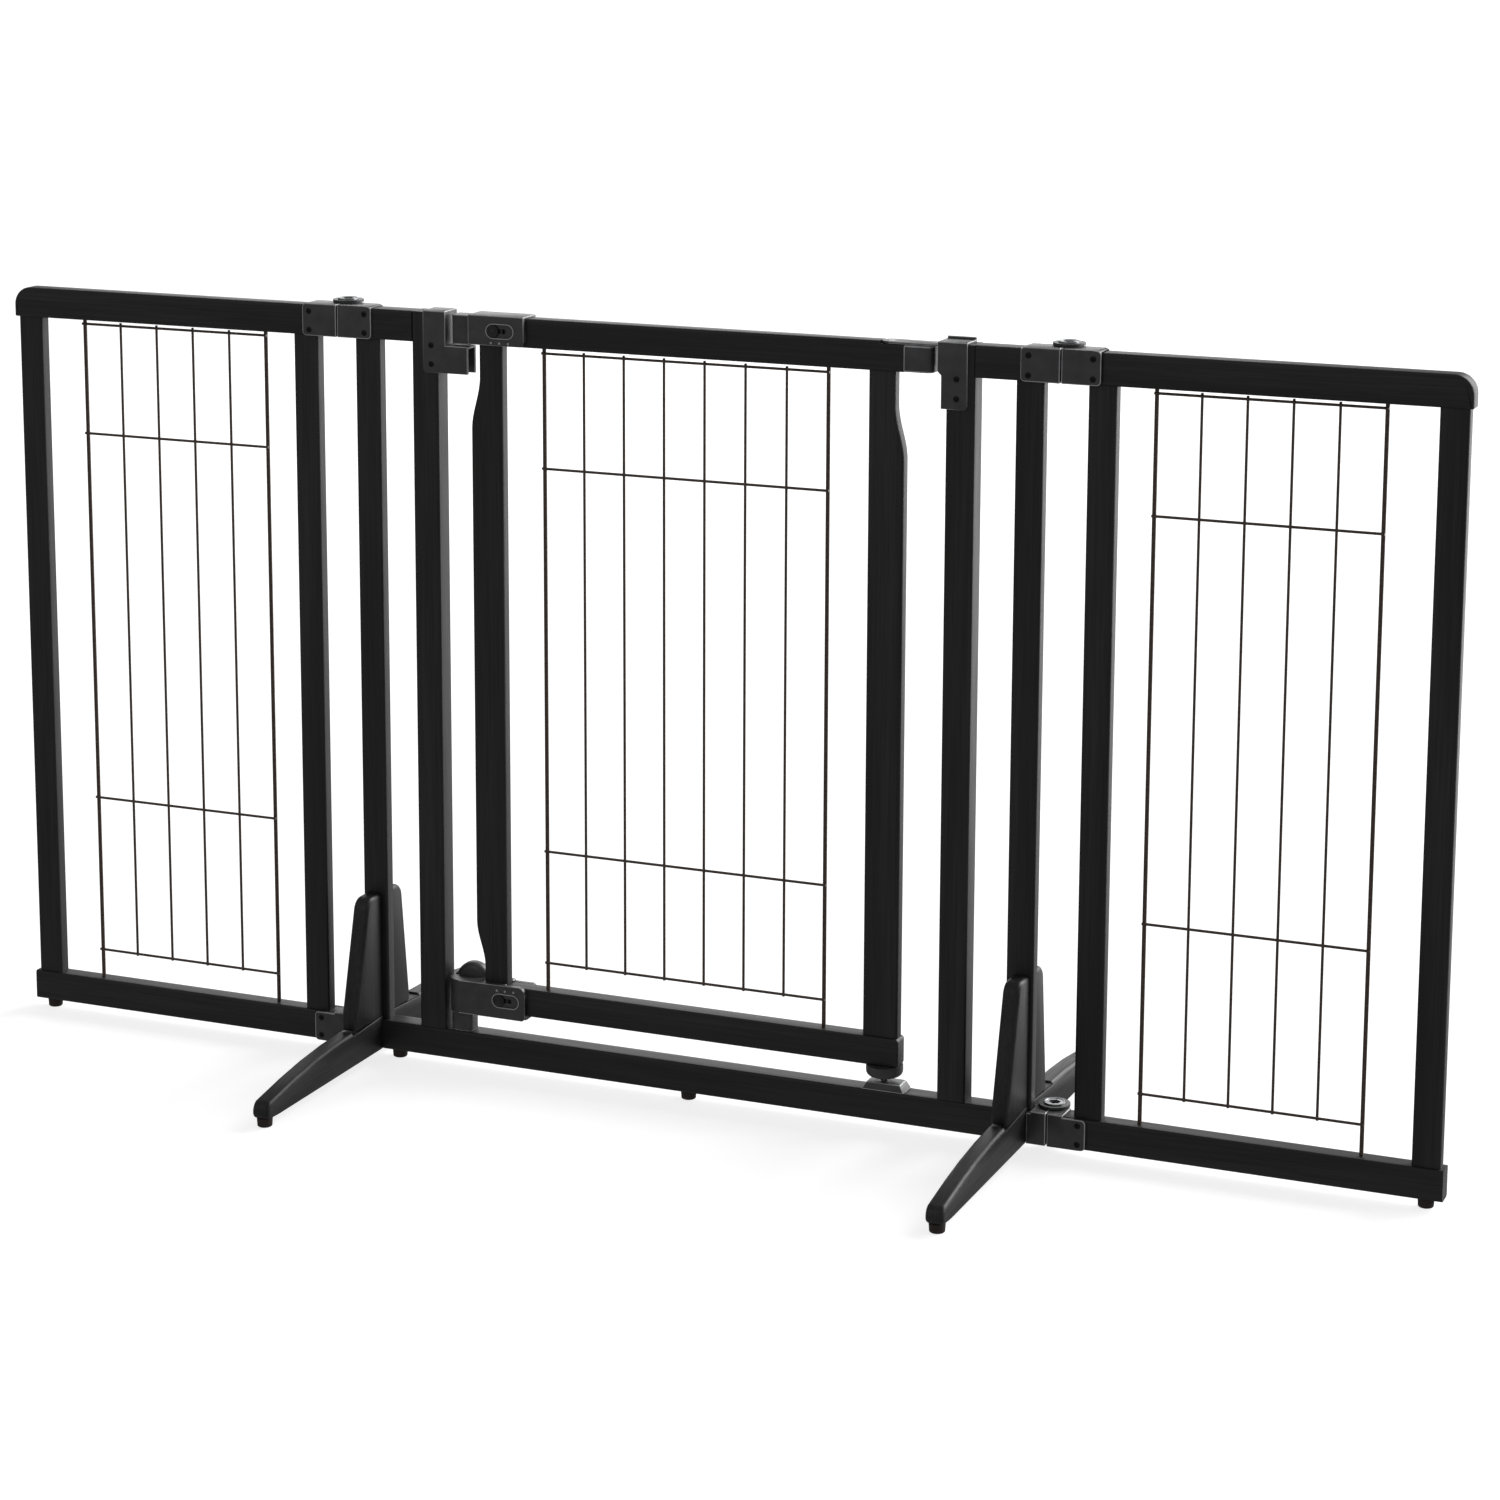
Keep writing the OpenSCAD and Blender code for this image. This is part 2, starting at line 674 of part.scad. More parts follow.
module door_bottom_rail() {
    color(wood) difference() {
        bar(door_rail_l, hinge_edge_x + 2, door_z, door_rail_h, door_rail_d);
        door_dowel_set();
        wire_holes(door_wire_x, door_wires, door_sill, door_head);
    }
}

// Half-cosine step from 0 to post_neck between z0 and z1
function neck_curve(z0, z1, n = 8) =
    [for (i = [0:n]) let (t = i / n) [post_neck * (1 - cos(180 * t)) / 2, z0 + (z1 - z0) * t]];

neck_high = shelf_z - 1.5;               // the posts are fully narrow from here up
neck_low = neck_high - 56;               // and start to narrow here
foot_neck_low = door_sill + 18;
foot_neck_high = door_sill + 68;

module shaped_post(outline) {
    translate([0, post_d / 2, 0]) rotate([90, 0, 0]) linear_extrude(post_d) polygon(outline);
}

module door_latch_post() {
    outer = [for (p = concat([[post_neck, door_sill]], neck_curve(foot_neck_high, foot_neck_low)))
        [p[0] - latch_edge_x, p[1]]];
    bottom = [for (i = [len(outer) - 1:-1:1]) outer[i]];
    upper = [for (p = neck_curve(neck_low, neck_high)) [p[0] - latch_edge_x, p[1]]];
    right = latch_post_w - latch_edge_x;
    color(wood) difference() {
        shaped_post(concat([[right, door_sill], [post_neck - latch_edge_x, door_sill]],
            bottom, upper, [[post_neck - latch_edge_x, door_head], [right, door_head]]));
        door_dowel_set();
    }
}

module door_hinge_post() {
    upper = [for (p = neck_curve(neck_low, neck_high)) [hinge_edge_x - p[0], p[1]]];
    left = hinge_edge_x - hinge_post_w;
    color(wood) difference() {
        shaped_post(concat([[left, door_sill], [hinge_edge_x, door_sill]], upper,
            [[hinge_edge_x - post_neck, door_head], [left, door_head]]));
        door_dowel_set();
    }
}

module door_wire_grid() {
    color(wire_colour) wire_grid(door_wire_x, door_wires, door_sill, door_head, door_cross_z);
}

// End cap with the block that carries the upper pivot's bore
module spigot_shape() {
    block([pivot_x - 10, -6, spigot_z], [cap_x + 1, 6, spigot_top]);
}

module door_end_cap() {
    cap_d = door_rail_d + 1;
    color(plastic) difference() {
        union() {
            translate([0, 0, door_head + 0.5]) linear_extrude(spigot_top - door_head - 0.5)
                polygon(concat([[cap_x, -cap_d / 2]],
                    arc([cap_end - 7, -cap_d / 2 + 7], 7, -90, 0),
                    arc([cap_end - 7, cap_d / 2 - 7], 7, 0, 90), [[cap_x, cap_d / 2]]));
            spigot_shape();
        }
        translate([pivot_x, 0, spigot_z - 1])
            cylinder(d = pivot_pin_d + 2 * pin_gap, h = spigot_h + 2);
    }
}

// ---- Latch housings: sleeves on the door rails, each with a keyhole for its lock knob ----
housing_y = door_rail_d / 2 + 5;         // outer faces, from the middle plane
recess_t = 1.5;                          // depth of the keyhole's recess
skin_t = 1.5;                            // wall left behind the recess
slide_w = 20;
slide_h = 12;
stem_d = 4.6;
lock_x = 29.5 - latch_edge_x;
top_lock_z = door_top - 14;
bottom_lock_z = door_z + door_rail_h / 2;
slide_y = -door_rail_d / 2;              // the slide plates run against the rail's face

module stadium(x0, x1, z, r, y0, y1) {
    rod_y(x0, y0, y1, z, 2 * r);
    rod_y(x1, y0, y1, z, 2 * r);
    block([x0, y0, z - r], [x1, y1, z + r]);
}

// Recess in the face, slot through the skin and room for the slide plate
module keyhole(z) {
    stadium(lock_x, lock_x + lock_travel + 4, z, knob_d / 2 + move_gap,
        -housing_y - 1, -housing_y + recess_t);
    stadium(lock_x, lock_x + lock_travel, z, stem_d / 2 + 0.3, -housing_y, slide_y);
    block([lock_x - slide_w / 2 - 0.4, -housing_y + recess_t + skin_t, z - slide_h / 2 - 0.4],
        [lock_x + lock_travel + slide_w / 2 + 0.4, slide_y, z + slide_h / 2 + 0.4]);
}

module lock_knob(z) {
    floor_y = -housing_y + recess_t;
    rod_y(lock_x, floor_y - 2, floor_y - 0.1, z, knob_d);
    rod_y(lock_x, floor_y - 0.2, floor_y + skin_t + 0.2, z, stem_d);
    block([lock_x - slide_w / 2, floor_y + skin_t + 0.1, z - slide_h / 2],
        [lock_x + slide_w / 2, slide_y - 0.1, z + slide_h / 2]);
}

module top_lock_knob() { color(plastic) lock_knob(top_lock_z); }
module bottom_lock_knob() { color(plastic) lock_knob(bottom_lock_z); }

housing_l = -latch_edge_x + 1;
housing_r = lock_x + lock_travel + 22.8;
housing_top = door_top + plastic_t;

module top_latch_housing() {
    color(plastic) difference() {
        block([housing_l, -housing_y, door_head + 1], [housing_r, housing_y, housing_top]);
        block([door_rail_l + sleeve_x, -door_rail_d / 2, door_head - 1],
            [housing_r + 1, door_rail_d / 2, door_top]);
        bolt_shank();
        keyhole(top_lock_z);
    }
}

bolt_l = strike_r + 5.4;

module bolt_shank() {
    block([housing_l, -7, door_head + 8], [door_rail_l + sleeve_x, 7, door_top - 5]);
}

module latch_bolt() {
    color(plastic) union() {
        post((bolt_l + housing_l) / 2, door_head - 0.4, door_top, housing_l - bolt_l, 18, 2);
        bolt_shank();
    }
}

housing_z = door_z - 4.4;
low_housing_l = 3 - gate_face_x;
low_housing_r = lock_x + lock_travel + 18.1;
low_housing_top = door_sill + 1.8;
ear_r = 20;
ear_d = 12;

module bottom_latch_housing() {
    color(plastic) difference() {
        union() {
            translate([low_housing_l + housing_y, 0, housing_z])
                cylinder(r = housing_y, h = low_housing_top - housing_z);
            block([low_housing_l + housing_y, -housing_y, housing_z],
                [low_housing_r, housing_y, low_housing_top]);
            rod_y(low_housing_l + 1 + ear_r, housing_y - ear_d, housing_y,
                low_housing_top + 14 - ear_r, 2 * ear_r);
        }
        block([door_rail_l, -door_rail_d / 2, door_z],
            [low_housing_r + 1, door_rail_d / 2, door_sill]);
        block([-latch_edge_x + post_neck, -post_d / 2, door_sill - 1],
            [latch_post_w - latch_edge_x, post_d / 2, low_housing_top + 1]);
        block([latch_post_w - latch_edge_x, -door_rail_d / 2, door_sill],
            [low_housing_r + 1, housing_y + 1, low_housing_top + 1]);
        keyhole(bottom_lock_z);
    }
}

module pivot_dome() {
    color(plastic) translate([pivot_x, 0, door_z]) difference() {
        rotate_extrude() polygon(concat([[0, 0], [0, -dome_h]],
            arc([dome_r - 6, -dome_h + 6], 6, -90, 0), [[dome_r, 0]]));
        translate([0, 0, -dome_h - 1])
            cylinder(d = pivot_pin_d + 2 * pin_gap, h = dome_h + 2);
    }
}

module door_dowels() { color("tan") door_dowel_set(); }

centre_bottom_rail();
left_stub_rail();
right_stub_rail();
left_gate_post();
right_gate_post();
left_inner_post();
right_inner_post();
left_front_leg();
left_rear_leg();
right_front_leg();
right_rear_leg();
leg_bolts();
leg_pads();
centre_feet();
strike_bracket();
upper_hinge_bracket();
upper_pivot_pin();
lower_pivot_saddle();
lower_pivot_pin();
catch_peg();
left_top_inner_leaf();
left_bottom_inner_leaf();
right_top_inner_leaf();
right_bottom_inner_leaf();
fold_pins();
centre_screws();
centre_dowels();
left_top_rail();
left_bottom_rail();
left_outer_post();
left_side_post();
left_wire_grid();
left_top_outer_leaf();
left_bottom_outer_leaf();
left_foot();
left_screws();
left_dowels();
right_top_rail();
right_bottom_rail();
right_outer_post();
right_side_post();
right_wire_grid();
right_top_outer_leaf();
right_bottom_outer_leaf();
right_foot();
right_screws();
right_dowels();
door_top_rail();
door_bottom_rail();
door_latch_post();
door_hinge_post();
door_wire_grid();
door_end_cap();
top_latch_housing();
latch_bolt();
bottom_latch_housing();
pivot_dome();
door_dowels();
top_lock_knob();
bottom_lock_knob();
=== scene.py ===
import json
import math
import bmesh
import bpy
from mathutils import Matrix, Vector


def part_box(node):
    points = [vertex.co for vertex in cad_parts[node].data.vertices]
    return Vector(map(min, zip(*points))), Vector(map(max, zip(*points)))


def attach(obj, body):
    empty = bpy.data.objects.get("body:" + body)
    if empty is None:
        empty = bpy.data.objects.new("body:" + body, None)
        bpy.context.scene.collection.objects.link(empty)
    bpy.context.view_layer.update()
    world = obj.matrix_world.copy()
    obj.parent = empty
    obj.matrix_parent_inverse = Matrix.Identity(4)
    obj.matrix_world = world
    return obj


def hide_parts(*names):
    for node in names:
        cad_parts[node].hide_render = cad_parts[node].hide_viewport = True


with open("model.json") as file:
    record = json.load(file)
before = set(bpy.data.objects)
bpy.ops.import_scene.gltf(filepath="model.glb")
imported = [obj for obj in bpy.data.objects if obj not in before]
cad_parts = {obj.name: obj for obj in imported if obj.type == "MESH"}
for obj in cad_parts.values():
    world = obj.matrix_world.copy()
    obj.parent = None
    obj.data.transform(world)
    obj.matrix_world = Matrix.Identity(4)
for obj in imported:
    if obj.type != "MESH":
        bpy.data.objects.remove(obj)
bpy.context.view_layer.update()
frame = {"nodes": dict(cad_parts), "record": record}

joints = {joint["name"]: joint for joint in frame["record"]["behaviour"]["joints"]}
bodyOf = {node: body for body, nodes in frame["record"]["behaviour"]["bodies"].items()
          for node in nodes}
slotOf = {part["node"]: part["material_slot"] for part in frame["record"]["subparts"]}

# ---- camera ----
cameraSet = {
    "place": (1.4654, -3.3573, 1.3108),
    "turn": 22.62, "tilt": -10.48, "roll": 0.22,   # degrees
    "lens": 88.54, "shiftY": -1 / 6,
}
cameraData = bpy.data.cameras.new("studioCamera")
cameraData.lens = cameraSet["lens"]
cameraData.sensor_width = 36
cameraData.shift_y = cameraSet["shiftY"]
camera = bpy.data.objects.new("studioCamera", cameraData)
bpy.context.collection.objects.link(camera)
camera.matrix_world = (Matrix.Translation(cameraSet["place"])
                       @ Matrix.Rotation(math.radians(cameraSet["turn"]), 4, "Z")
                       @ Matrix.Rotation(math.radians(90 + cameraSet["tilt"]), 4, "X")
                       @ Matrix.Rotation(math.radians(cameraSet["roll"]), 4, "Z"))
bpy.context.scene.camera = camera
print("camera placed")


# ---- materials ----
def hexColour(text):
    # sRGB hex to linear colour
    parts = [int(text[i:i + 2], 16) / 255 for i in (1, 3, 5)]
    return tuple(c / 12.92 if c <= 0.04045 else ((c + 0.055) / 1.055) ** 2.4 for c in parts) + (1,)


def setInputs(tree, node, inputs):
    # sockets are linked; anything else becomes the input's own value
    for name, value in dict(inputs).items():
        if isinstance(value, bpy.types.NodeSocket):
            tree.links.new(value, node.inputs[name])
        else:
            node.inputs[name].default_value = value


def addNode(tree, kind, inputs=(), **settings):
    node = tree.nodes.new(kind)
    for name, value in settings.items():
        setattr(node, name, value)
    setInputs(tree, node, inputs)
    return node


def newMaterial(name):
    material = bpy.data.materials.new(name)
    material.use_nodes = True
    tree = material.node_tree
    return material, tree, tree.nodes["Principled BSDF"]


def cubic(size):
    # cells per metre for a pattern this many millimetres across on every axis
    return [1000 / size] * 3


def noise(tree, cells, detail, **others):
    # a pattern in object coordinates, with a number of cells per metre on each axis
    points = addNode(tree, "ShaderNodeTexCoord").outputs["Object"]
    scaled = addNode(tree, "ShaderNodeMapping", {"Vector": points, "Scale": cells})
    inputs = {"Vector": scaled.outputs["Vector"], "Scale": 1.0, "Detail": detail, **others}
    return addNode(tree, "ShaderNodeTexNoise", inputs).outputs["Fac"]


def mapped(tree, value, low, high):
    inputs = {"Value": value, "To Min": low, "To Max": high}
    return addNode(tree, "ShaderNodeMapRange", inputs).outputs["Result"]


def bumped(tree, height, strength, distance):
    inputs = {"Height": height, "Strength": strength, "Distance": distance}
    return addNode(tree, "ShaderNodeBump", inputs).outputs["Normal"]


def twoColours(tree, factor, colours, span):
    # from the first colour to the second over this span of the factor
    ramp = addNode(tree, "ShaderNodeValToRGB", {"Fac": factor})
    for element, colour, place in zip(ramp.color_ramp.elements, colours, span):
        element.position = place
        element.color = hexColour(colour)
    return ramp.outputs["Color"]


woodSet = {
    "colours": ("#0e0e0e", "#2a2828"), "span": (0.14, 0.42),
    "grainWidth": 2.2, "grainLength": 90,    # millimetres; real pores are finer and would not show
    "grainDetail": 4.0, "grainBreak": 0.62,
    "toneWidth": 26, "toneLength": 420, "toneDetail": 2.0, "toneWarp": 0.6,
    "rough": (0.58, 0.38), "bump": (0.25, 0.00025), "ior": 1.48, "specular": 0.42,
}


def stainedWood(name, along):
    # Black-stained rubberwood under satin lacquer: near-black, with a faint long grain
    # that shows mostly as a change of gloss.
    material, tree, shader = newMaterial(name)
    s = woodSet
    fine, broad = cubic(s["grainWidth"]), cubic(s["toneWidth"])
    fine[along] = 1000 / s["grainLength"]
    broad[along] = 1000 / s["toneLength"]
    grain = noise(tree, fine, s["grainDetail"], Roughness=s["grainBreak"])
    tone = noise(tree, broad, s["toneDetail"], Distortion=s["toneWarp"])
    mixed = addNode(tree, "ShaderNodeMath", {0: grain, 1: tone}, operation="MULTIPLY").outputs[0]
    setInputs(tree, shader, {
        "Base Color": twoColours(tree, mixed, s["colours"], s["span"]),
        "Roughness": mapped(tree, grain, *s["rough"]),
        "Normal": bumped(tree, grain, *s["bump"]),
        "IOR": s["ior"], "Specular IOR Level": s["specular"],
    })
    return material


plasticSet = {
    # the edge colours are a pale painted highlight for rounded edges and raised rims
    "colours": {"body": ("#333334", "#404041"), "edge": ("#97979a", "#b6b6b9"),
                "knob": ("#0f0f10", "#19191a")},
    "rough": {"body": (0.36, 0.46), "edge": (0.24, 0.32), "knob": (0.28, 0.36)},
    "span": (0.3, 0.7), "grit": 0.9, "gritDetail": 2.0, "cloud": 14, "cloudDetail": 3.0,
    "bump": (0.35, 0.00012), "ior": 1.5,
}


def mouldedPlastic(name, kind):
    # Black glass-filled nylon from a spark-eroded mould: a fine even grit that breaks up
    # its reflections, a little greyer than the wood. The edge kind is paler and a little
    # glossier: a painted highlight for the light that the rounded edges catch.
    material, tree, shader = newMaterial(name)
    s = plasticSet
    grit = noise(tree, cubic(s["grit"]), s["gritDetail"])
    cloud = noise(tree, cubic(s["cloud"]), s["cloudDetail"])
    setInputs(tree, shader, {
        "Base Color": twoColours(tree, cloud, s["colours"][kind], s["span"]),
        "Roughness": mapped(tree, cloud, *s["rough"][kind]),
        "Normal": bumped(tree, grit, *s["bump"]),
        "IOR": s["ior"],
    })
    return material


def plainFinish(name, s):
    # one pattern drives the colour and, where the settings have one, the bump
    material, tree, shader = newMaterial(name)
    pattern = noise(tree, s["cells"], s["detail"])
    inputs = {"Base Color": twoColours(tree, pattern, s["colours"], s["span"]),
              "Roughness": s["rough"], "Metallic": s.get("metal", 0.0)}
    if "bump" in s:
        inputs["Normal"] = bumped(tree, pattern, *s["bump"])
    setInputs(tree, shader, inputs)
    return material


# Steel wire in bronze-black epoxy powder: smooth and slightly warm, with orange peel.
wireSet = {"cells": cubic(2.4), "detail": 2.0, "colours": ("#33261f", "#4b3a2f"),
           "span": (0.35, 0.65), "bump": (0.2, 0.0002), "rough": 0.34}
# Dark brown synthetic rubber, matt, with a slightly mottled bloom.
rubberSet = {"cells": cubic(1.6), "detail": 3.0, "colours": ("#1c1412", "#30231e"),
             "span": (0.3, 0.7), "bump": (0.3, 0.0002), "rough": 0.78}
# Steel screws with a black oxide finish: dark and a little oily.
oxideSet = {"cells": (900, 900, 900), "detail": 2.0, "colours": ("#0c0c0d", "#1a1a1b"),
            "span": (0.3, 0.7), "metal": 0.6, "rough": 0.38}
# Plain beech dowel: pale, with short fine flecks along its length.
beechSet = {"cells": (900, 900, 120), "detail": 3.0, "colours": ("#a98258", "#cda97c"),
            "span": (0.3, 0.7), "rough": 0.6}
steelSet = {"colours": ("#6f7173", "#9c9ea0"), "span": (0.3, 0.7), "rough": (0.24, 0.4),
            "streak": 1.2, "stretch": (1 / 6, 1 / 6, 4), "detail": 3.0}


def platedSteel(name):
    # Zinc-plated turned steel: bright, with fine streaks from the lathe.
    material, tree, shader = newMaterial(name)
    s = steelSet
    streak = noise(tree, [1000 / s["streak"] * times for times in s["stretch"]], s["detail"])
    setInputs(tree, shader, {
        "Base Color": twoColours(tree, streak, s["colours"], s["span"]),
        "Roughness": mapped(tree, streak, *s["rough"]), "Metallic": 1.0,
    })
    return material


woodAlongX = stainedWood("stainedRubberwoodRail", 0)
woodAlongY = stainedWood("stainedRubberwoodLeg", 1)
woodAlongZ = stainedWood("stainedRubberwoodPost", 2)
# pale glossy nylon: a painted highlight on rounded edges, keyhole rims and pips
nylonEdgeHighlight = mouldedPlastic("rubbedNylonEdge", "edge")
nylonKnob = mouldedPlastic("smoothBlackNylon", "knob")
finishes = {
    "moulded_plastic": mouldedPlastic("sparkTexturedNylon", "body"),
    "coated_wire": plainFinish("bronzePowderCoat", wireSet),
    "foot_rubber": plainFinish("brownRubber", rubberSet),
    "zinc_steel": platedSteel("zincPlatedSteel"),
    "black_screw": plainFinish("blackOxideSteel", oxideSet),
    "dowel_wood": plainFinish("turnedBeech", beechSet),
}


def materialFor(node):
    if node.endswith("_rail"):
        return woodAlongX
    if node.endswith("_leg"):
        return woodAlongY
    if node.endswith("_post"):
        return woodAlongZ
    return finishes[slotOf[node]]


for node, cadObject in frame["nodes"].items():
    cadObject.data.materials.clear()
    cadObject.data.materials.append(materialFor(node))
print("materials made")


# ---- tools for the pieces ----
samePlace = 1e-6      # metres; points closer than this are one point
margin = 0.001        # metres; how far cutters and tests reach past a face
toolSet = {"sharp": 0.6, "smooth": 32, "flat": 0.4}   # radians, then degrees twice


def selectOnly(piece):
    bpy.ops.object.select_all(action="DESELECT")
    piece.select_set(True)
    bpy.context.view_layer.objects.active = piece


def pick(piece, kind, test):
    # edit mode, with only the vertices, edges or faces that pass the test selected
    selectOnly(piece)
    bpy.ops.object.mode_set(mode="EDIT")
    bpy.ops.mesh.select_mode(type=kind)
    bpy.ops.mesh.select_all(action="DESELECT")
    shape = bmesh.from_edit_mesh(piece.data)
    for item in {"VERT": shape.verts, "EDGE": shape.edges, "FACE": shape.faces}[kind]:
        if test(item):
            item.select_set(True)
    bmesh.update_edit_mesh(piece.data)


def leaveEdit():
    bpy.ops.object.mode_set(mode="OBJECT")


def isSharp(edge):
    # inner corners are left out, since rounding one would add material to the piece
    outer = len(edge.link_faces) == 2 and edge.is_convex
    return outer and edge.calc_face_angle(0) > toolSet["sharp"]


def inPlane(edge, axis):
    # both ends have the same place on this axis
    return abs(edge.verts[0].co[axis] - edge.verts[1].co[axis]) < samePlace


def shadeSmooth(piece, angle=toolSet["smooth"]):
    selectOnly(piece)
    bpy.ops.object.shade_smooth_by_angle(angle=math.radians(angle))


def roundEdges(piece, test, width, segments=5):
    pick(piece, "EDGE", lambda edge: isSharp(edge) and test(edge))
    bpy.ops.mesh.bevel(offset=width, segments=segments, clamp_overlap=False)
    leaveEdit()


def modify(piece, kind, **settings):
    modifier = piece.modifiers.new(kind, kind)
    for name, value in settings.items():
        setattr(modifier, name, value)
    selectOnly(piece)
    bpy.ops.object.modifier_apply(modifier=modifier.name)


def ease(piece, width, segments=3, shortest=0.0012, paintedHighlight=None):
    # Every sharp outer edge is rounded, except the short ones round small holes. A given
    # painted-highlight material goes on the roundings alone.
    if paintedHighlight:
        piece.data.materials.append(paintedHighlight)
    pick(piece, "EDGE", lambda edge: isSharp(edge) and edge.calc_length() > shortest)
    bpy.ops.mesh.bevel(offset=width, segments=segments, clamp_overlap=False,
                       material=len(piece.data.materials) - 1 if paintedHighlight else -1)
    leaveEdit()
    shadeSmooth(piece)


def joinInto(piece, *others):
    for other in others:
        other.data.materials.clear()
        other.data.materials.append(piece.data.materials[0])
    selectOnly(piece)
    for other in others:
        other.select_set(True)
    bpy.ops.object.join()
    return piece


def subtract(piece, *cutters):
    for cutter in cutters:
        modify(piece, "BOOLEAN", operation="DIFFERENCE", solver="EXACT", object=cutter)
        bpy.data.objects.remove(cutter)
    return piece


def moved(piece, matrix):
    # carries the mesh, so that the object itself stays at the origin
    piece.data.transform(matrix)
    if matrix.determinant() < 0:
        piece.data.flip_normals()
    return piece


def another(piece, name, matrix):
    twin = piece.copy()
    twin.data = piece.data.copy()
    twin.name = twin.data.name = name
    bpy.context.collection.objects.link(twin)
    return moved(twin, matrix)


def addBlock(name, low, high):
    bpy.ops.object.select_all(action="DESELECT")
    middle = [(a + b) / 2 for a, b in zip(low, high)]
    bpy.ops.mesh.primitive_cube_add(size=1, location=middle)
    piece = bpy.context.object
    piece.name = piece.data.name = name
    piece.scale = [b - a for a, b in zip(low, high)]
    bpy.ops.object.transform_apply(location=True, rotation=True, scale=True)
    return piece


def addBoard(name, outline, low, high, axis):
    # an outline sawn from a board: filled, then extruded through its thickness along axis
    bpy.ops.object.select_all(action="DESELECT")
    bpy.ops.mesh.primitive_circle_add(vertices=len(outline), radius=0.1, fill_type="NGON")
    piece = bpy.context.object
    piece.name = piece.data.name = name
    for vertex, (a, b) in zip(piece.data.vertices, outline):
        vertex.co = (a, low, b) if axis == "Y" else (low, a, b)
    move = (0, high - low, 0) if axis == "Y" else (high - low, 0, 0)
    pick(piece, "FACE", lambda face: True)
    bpy.ops.mesh.extrude_region_move(TRANSFORM_OT_translate={"value": move})
    bpy.ops.mesh.select_all(action="SELECT")
    bpy.ops.mesh.normals_make_consistent(inside=False)
    leaveEdit()
    return piece


def arc(centre, radius, start, end, steps):
    return [(centre[0] + radius * math.cos(math.radians(start + (end - start) * i / steps)),
             centre[1] + radius * math.sin(math.radians(start + (end - start) * i / steps)))
            for i in range(steps + 1)]


def addTurned(name, profile, steps=48):
    # a lathe profile of (radius, height) points, from axis to axis, turned about Z
    bpy.ops.object.select_all(action="DESELECT")
    bpy.ops.mesh.primitive_circle_add(vertices=len(profile), radius=0.1, fill_type="NOTHING")
    piece = bpy.context.object
    piece.name = piece.data.name = name
    for vertex, (radius, height) in zip(piece.data.vertices, profile):
        vertex.co = (radius, 0, height)
    pick(piece, "EDGE", lambda edge: all(v.co.x == 0 for v in edge.verts))
    bpy.ops.mesh.delete(type="EDGE")
    leaveEdit()
    modify(piece, "SCREW", axis="Z", steps=steps, render_steps=steps,
           use_merge_vertices=True, merge_threshold=samePlace)
    pick(piece, "FACE", lambda face: True)
    bpy.ops.mesh.normals_make_consistent(inside=False)
    leaveEdit()
    shadeSmooth(piece)
    return piece


def inMetres(profile):
    return [(a / 1000, b / 1000) for a, b in profile]


def stadiumLine(left, right, height, radius, steps=14):
    return (arc((left, height), radius, 90, 270, steps)
            + arc((right, height), radius, -90, 90, steps))


def cutCorner(piece, corner, inward, radius, low, high):
    # rounds a square corner of a plate that lies between low and high on Y
    (x, z), (a, b) = corner, inward
    angles = [math.radians(t) for t in range(0, 91, 10)]
    turn = [(x + a * radius * (1 - math.sin(t)), z + b * radius * (1 - math.cos(t)))
            for t in angles]
    line = ([(x - a * margin, z - b * margin), (x + a * radius, z - b * margin)]
            + turn + [(x - a * margin, z + b * radius)])
    subtract(piece, addBoard("corner", line, low, high, "Y"))


def copyOf(node, name):
    # a CAD node's shape, merged and with its flat faces whole, ready to be finished
    source = frame["nodes"][node]
    piece = bpy.data.objects.new(name, source.data.copy())
    piece.data.name = name
    bpy.context.collection.objects.link(piece)
    selectOnly(piece)
    bpy.ops.object.mode_set(mode="EDIT")
    bpy.ops.mesh.select_all(action="SELECT")
    bpy.ops.mesh.remove_doubles(threshold=samePlace)
    bpy.ops.mesh.dissolve_limited(angle_limit=math.radians(toolSet["flat"]))
    bpy.ops.mesh.select_all(action="SELECT")
    bpy.ops.mesh.customdata_custom_splitnormals_clear()
    leaveEdit()
    return piece


def finish(piece, material, *nodes):
    # the piece gets the given material, and its body from the first CAD node that it stands for;
    # those nodes are hidden
    if piece.data.materials:
        piece.data.materials[0] = material
    else:
        piece.data.materials.append(material)
    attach(piece, bodyOf[nodes[0]])
    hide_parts(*nodes)
    return piece


def islandsOf(node):
    # the boxes of the separate solids in a CAD node
    shape = bmesh.new()
    shape.from_mesh(frame["nodes"][node].data)
    bmesh.ops.remove_doubles(shape, verts=shape.verts, dist=samePlace)
    left, boxes = set(shape.verts), []
    while left:
        front = [left.pop()]
        found = list(front)
        while front:
            for edge in front.pop().link_edges:
                for vertex in edge.verts:
                    if vertex in left:
                        left.remove(vertex)
                        front.append(vertex)
                        found.append(vertex)
        boxes.append([Vector(end(v.co[i] for v in found) for i in range(3)) for end in (min, max)])
    shape.free()
    return sorted(boxes, key=lambda box: tuple(round(c, 4) for c in box[0]))


mirrorX = Matrix.Diagonal((-1, 1, 1, 1))
mirrorY = Matrix.Diagonal((1, -1, 1, 1))


# ---- legs: a long foot with an upright fin standing on it ----
legSet = {
    # millimetres; angles in degrees
    "ease": 4.2, "arris": 0.6, "finThinner": 0.5,
    "top": ((202, 35.7), (160, 41.2), (116, 44.7), (75, 46.0)),   # from the tip inwards
    "toe": 5, "tip": 12, "tipUp": 7, "tipTurn": 70,
    "finFoot": {-1: 69, 1: 54},   # front fins reach further than rear ones
    "finTop": 38, "finStep": 12, "finLean": 0.6,
    "finRound": 15, "finInset": 13, "finTurn": (8, 80),
}


